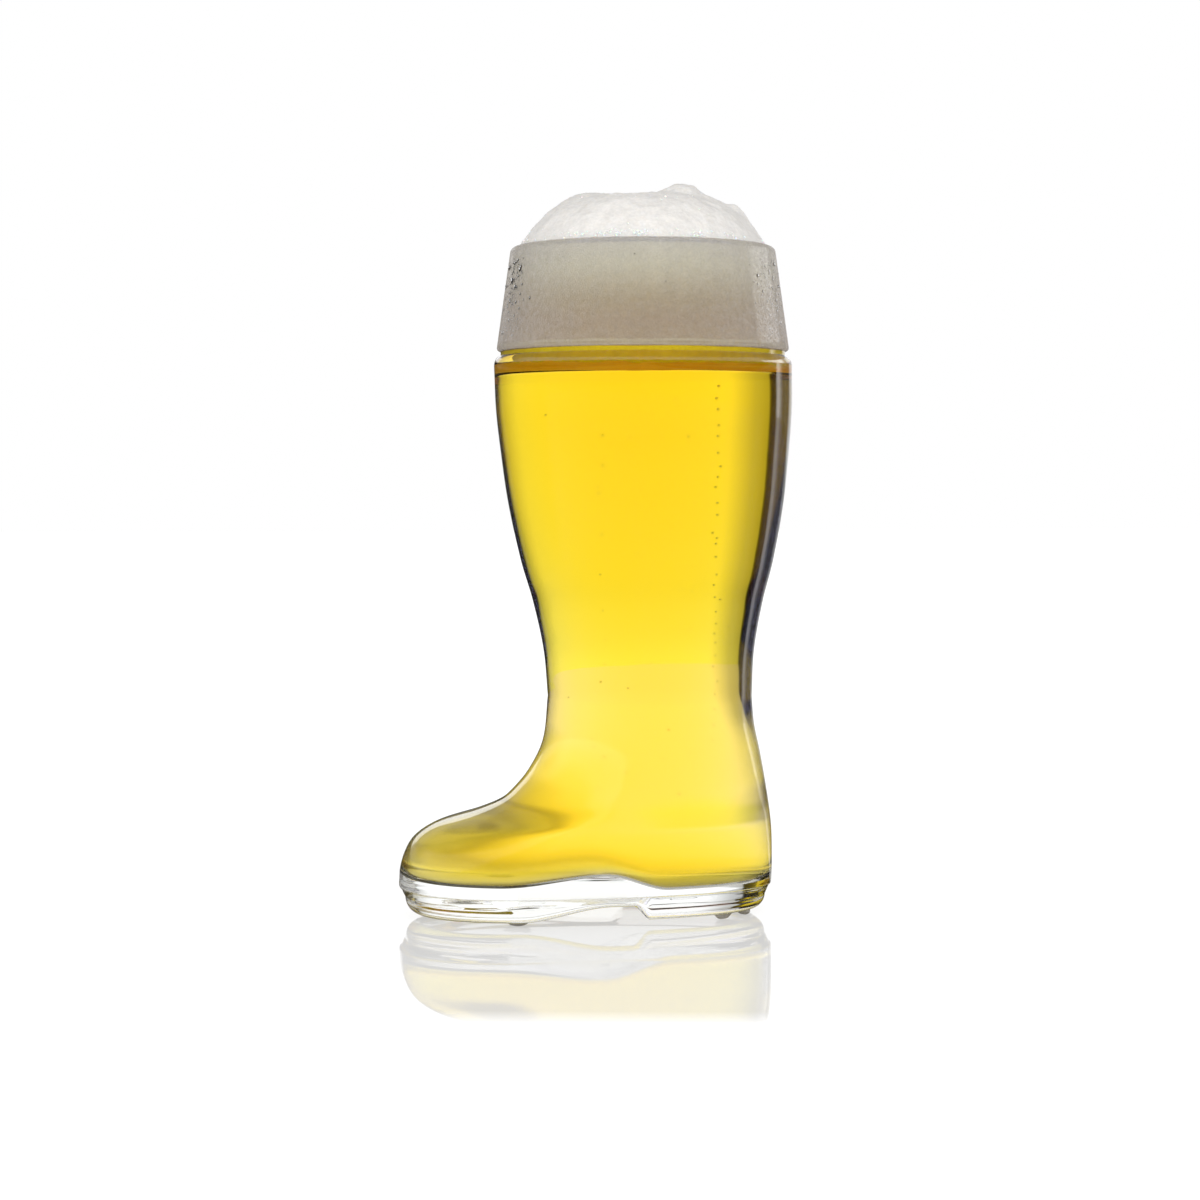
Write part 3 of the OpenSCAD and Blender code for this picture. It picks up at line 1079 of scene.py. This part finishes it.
# Higher up, where the leaning cuff and the table mirror it, the room is lit, most of all on the right
cuff_stops = [(-180, 1.5), (-80, 1.5), (-68, 0.8), (-34, 0.5), (-28, 1.6), (30, 1.6), (36, 0.5), (45, 4.0),
              (72, 4.0), (78, 1.3), (180, 1.5)]
# Above that it is dark behind the boot, and overhead it is dim all round
ceiling_stops = [(-180, 1.5), (-80, 1.5), (-60, 0.35), (60, 0.35), (80, 1.5), (180, 1.5)]
overhead_level = 0.2
# On the foam and the table falls soft light from all sides, with more from the backdrop
soft_stops = [(-60, 0.42), (-35, 0.8), (50, 0.8), (75, 0.42)]
# Heights above the horizon, as a share of straight up, between which a wall gives way to what is above
gloss_zones = [(0.4, 0.5, ceiling_stops), (0.24, 0.27, cuff_stops), (0.09, 0.13, strip_stops)]
# The backdrop's brightness by height
sky_stops = [(0.0, 1.22), (0.08, 1.14), (0.2, 1.1), (0.7, 1.05), (0.9, 0.8)]

world = bpy.data.worlds.new("studio")
bpy.context.scene.world = world
world.use_nodes = True
tree = world.node_tree
tree.nodes.clear()
direction = add_node(tree, "TexCoord").outputs["Generated"]
parts = add_node(tree, "SeparateXYZ", None, {0: direction})
round_share = turn_share(tree, parts.outputs["X"], parts.outputs["Y"])
sky = add_node(tree, "ValToRGB", None, {"Fac": parts.outputs["Z"]})
ramp_stops(sky, [(height, grey(glow)) for height, glow in sky_stops])
overhead = add_node(tree, "RGB")
overhead.outputs[0].default_value = grey(overhead_level)
mirrored = overhead
for low, high, stops in gloss_zones:
    above = add_node(tree, "MapRange", {"From Min": low, "From Max": high}, {"Value": parts.outputs["Z"]})
    zone = add_node(tree, "Mix", {"data_type": "RGBA"}, {
        0: above, 6: studio_wall(tree, round_share, stops), 7: mirrored})
    mirrored = zone.outputs[2]
through_light = add_node(tree, "Background", None, {
    "Color": studio_wall(tree, round_share, backdrop_stops), "Strength": sky})
gloss_light = add_node(tree, "Background", None, {"Color": mirrored})
plain_light = add_node(tree, "Background", None, {"Color": studio_wall(tree, round_share, soft_stops)})
white_behind = add_node(tree, "Background", {"Color": colour("FFFFFF"), "Strength": 1.0})
rays = add_node(tree, "LightPath")
or_camera = add_node(tree, "MixShader", None, {
    0: rays.outputs["Is Camera Ray"],
    1: by_ray(tree, plain_light, gloss_light, through_light),
    2: white_behind})
add_node(tree, "OutputWorld", None, {"Surface": or_camera})


# The table: white, with a glossy sheet under the boot, so that it stands on its own reflection
table_half = 6000
table_z = -0.05
# Where the sheet starts and ends to fade, in metres from the boot: in front, behind and to each side
sheet_front = (-0.19, -0.165)
sheet_back = (0.3, 0.12)
sheet_side = (0.32, 0.16)
sheet_mirror = 0.25
# Distance at which the table seen through the glass turns from its near tones to the backdrop's
near_and_far = (0.16, 0.4)
# Tint of the table seen through the beer, by distance: near the boot it is a painted yellow shadow of the
# boot, and farther off it evens out the depth of beer that light crosses
cast_stops = [(0.06, (0.88, 0.76, 0.4, 1)), (0.1, (0.95, 0.83, 0.42, 1)), (0.14, (0.98, 0.89, 0.75, 1)),
              (0.2, (1, 0.94, 1.0, 1)), (0.26, (1, 0.94, 1.3, 1)), (0.34, (1, 0.95, 1.9, 1))]

# Gloss acrylic, cast flat: white right through, with a skin that mirrors the boot weakly but sharply
table_white = new_material("white_gloss_acrylic_table")
tree = table_white.node_tree
place = add_node(tree, "TexCoord").outputs["Object"]
parts = add_node(tree, "SeparateXYZ", None, {0: place})
round_share = turn_share(tree, parts.outputs["X"], parts.outputs["Y"])
from_boot = add_node(tree, "VectorMath", {"operation": "LENGTH"}, {0: place})
far_off = add_node(tree, "MapRange", {"From Min": near_and_far[0], "From Max": near_and_far[1]},
                   {"Value": from_boot.outputs["Value"]})


def seen_table(stops):
    """The table's painted brightness and shade round the boot, as seen through the glass, which goes over
    into the backdrop's far off.
    """
    toned = add_node(tree, "Mix", {"data_type": "RGBA"}, {
        0: far_off, 6: studio_wall(tree, round_share, stops),
        7: studio_wall(tree, round_share, backdrop_stops)})
    return toned.outputs[2]


def table_fade(metres, span):
    return add_node(tree, "MapRange", {"From Min": span[0], "From Max": span[1]}, {"Value": metres})


# Light that crossed the beer has passed more faces than light that crossed the clear sole alone
rays = add_node(tree, "LightPath")
through_beer = add_node(tree, "MapRange", {"From Min": 3.0, "From Max": 4.0},
                        {"Value": rays.outputs["Transmission Depth"]})
# Painted yellow shadow of the boot on the table near it, seen through the beer
yellow_cast = add_node(tree, "ValToRGB", None, {"Fac": from_boot.outputs["Value"]})
ramp_stops(yellow_cast, cast_stops)
cast_table = add_node(tree, "Mix", {"data_type": "RGBA", "blend_type": "MULTIPLY", 0: 1.0}, {
    6: seen_table(near_stops), 7: yellow_cast})
around = add_node(tree, "Mix", {"data_type": "RGBA"}, {
    0: through_beer, 6: seen_table(clear_stops), 7: cast_table.outputs[2]})
# The flatter one looks at the table through the glass, the brighter it is
facing = add_node(tree, "LayerWeight", {"Blend": 0.5})
grazed = add_node(tree, "MapRange",
                  {"From Min": 0.2, "From Max": 0.7, "To Min": 0.45, "To Max": 1.22},
                  {"Value": facing.outputs["Facing"]})
through_glow = add_node(tree, "Emission", None, {"Color": around.outputs[2], "Strength": grazed})
gloss_glow = add_node(tree, "Emission", {"Strength": 0.5}, {
    "Color": studio_wall(tree, round_share, strip_stops)})

# Distance behind the boot and to its side, as the camera sees it
toward = math.radians(camera_turn)
turned = []
for x_part, y_part in ((math.sin(toward), math.cos(toward)), (math.cos(toward), -math.sin(toward))):
    from_x = add_node(tree, "Math", {"operation": "MULTIPLY", 1: x_part}, {0: parts.outputs["X"]})
    turned.append(add_node(tree, "Math", {"operation": "MULTIPLY_ADD", 1: y_part}, {
        0: parts.outputs["Y"], 2: from_x}))
behind, across = turned
sideways = add_node(tree, "Math", {"operation": "ABSOLUTE"}, {0: across})
sheet_depth = add_node(tree, "Math", {"operation": "MULTIPLY"}, {
    0: table_fade(behind, sheet_front), 1: table_fade(behind, sheet_back)})
sheet = add_node(tree, "Math", {"operation": "MULTIPLY"}, {
    0: sheet_depth, 1: table_fade(sideways, sheet_side)})

# What the camera sees: a lit white table, a little darker on the sheet, where the mirror adds its light
lit_level = add_node(tree, "MapRange", {"To Min": 1.5, "To Max": 0.95}, {"Value": sheet})
table_matte = add_node(tree, "BsdfDiffuse", {"Color": colour("EEEEEE")})
table_lit = add_node(tree, "Emission", {"Color": colour("FFFFFF")}, {"Strength": lit_level})
table_plain = add_node(tree, "MixShader", {0: 0.65}, {1: table_matte, 2: table_lit})
table_mirror = add_node(tree, "BsdfAnisotropic", {"Color": colour("FFFFFF"), "Roughness": 0.02})
mirror_share = add_node(tree, "Math", {"operation": "MULTIPLY", 1: sheet_mirror}, {0: sheet})
table_gloss = add_node(tree, "MixShader", None, {0: mirror_share, 1: table_plain, 2: table_mirror})
add_node(tree, "OutputMaterial", None, {"Surface": by_ray(tree, table_gloss, gloss_glow, through_glow)})
table_corners = [(x * table_half, y * table_half, table_z) for x, y in ((-1, -1), (1, -1), (1, 1), (-1, 1))]
new_piece("table", table_corners, [(0, 1, 2, 3)], table_white)


def aim(toward):
    """Euler angles that point an object's -Z along a direction, with its X level."""
    x, y, z = toward
    flat = math.hypot(x, y)
    return (math.pi / 2 + math.atan2(z, flat), 0, math.atan2(y, x) - math.pi / 2)


def soft_light(name, place, target, size, watts):
    """A large lamp whose own shape isn't seen in the glass or through it; places in metres."""
    lamp = bpy.data.lights.new(name, "AREA")
    lamp.shape = "RECTANGLE"
    lamp.size = size[0]
    lamp.size_y = size[1]
    lamp.energy = watts
    holder = bpy.data.objects.new(name, lamp)
    bpy.context.scene.collection.objects.link(holder)
    holder.visible_glossy = False
    holder.visible_transmission = False
    holder.location = place
    holder.rotation_euler = aim(np.array(target) - np.array(place))


soft_light("overhead_softbox", (0.1, -0.1, 1.1), (0.02, 0, 0.2), (1.0, 1.0), 2)
soft_light("front_softbox", (-0.25, -1.15, 0.65), (0.02, 0, 0.18), (0.8, 0.8), 9.5)

# The camera stands a little to the toe's side of square, at the height of the upper shaft. Its focal
# length and how far it looks aside and down are in pixels of the picture.
azimuth = math.radians(camera_azimuth)
camera_far = 895
camera_high = 155
eye = (mouth_x + camera_far * math.sin(azimuth), -camera_far * math.cos(azimuth), camera_high)
focal = 2541
picture = 1200
looks_aside = 42.5
looks_down = 126
sensor_w = 36
yaw = math.atan(looks_aside / focal)
tilt = math.atan(looks_down / focal)
forward = np.array((-math.sin(azimuth), math.cos(azimuth), 0))
rightward = np.array((math.cos(azimuth), math.sin(azimuth), 0))
level = forward * math.cos(yaw) - rightward * math.sin(yaw)
looking = level * math.cos(tilt) - np.array((0, 0, 1)) * math.sin(tilt)
camera_data = bpy.data.cameras.new("camera")
camera_data.sensor_width = sensor_w
camera_data.lens = focal / picture * sensor_w
camera = bpy.data.objects.new("camera", camera_data)
bpy.context.scene.collection.objects.link(camera)
camera.location = [v * MM for v in eye]
camera.rotation_euler = aim(looking)
bpy.context.scene.camera = camera
bpy.context.scene.view_settings.view_transform = "Standard"
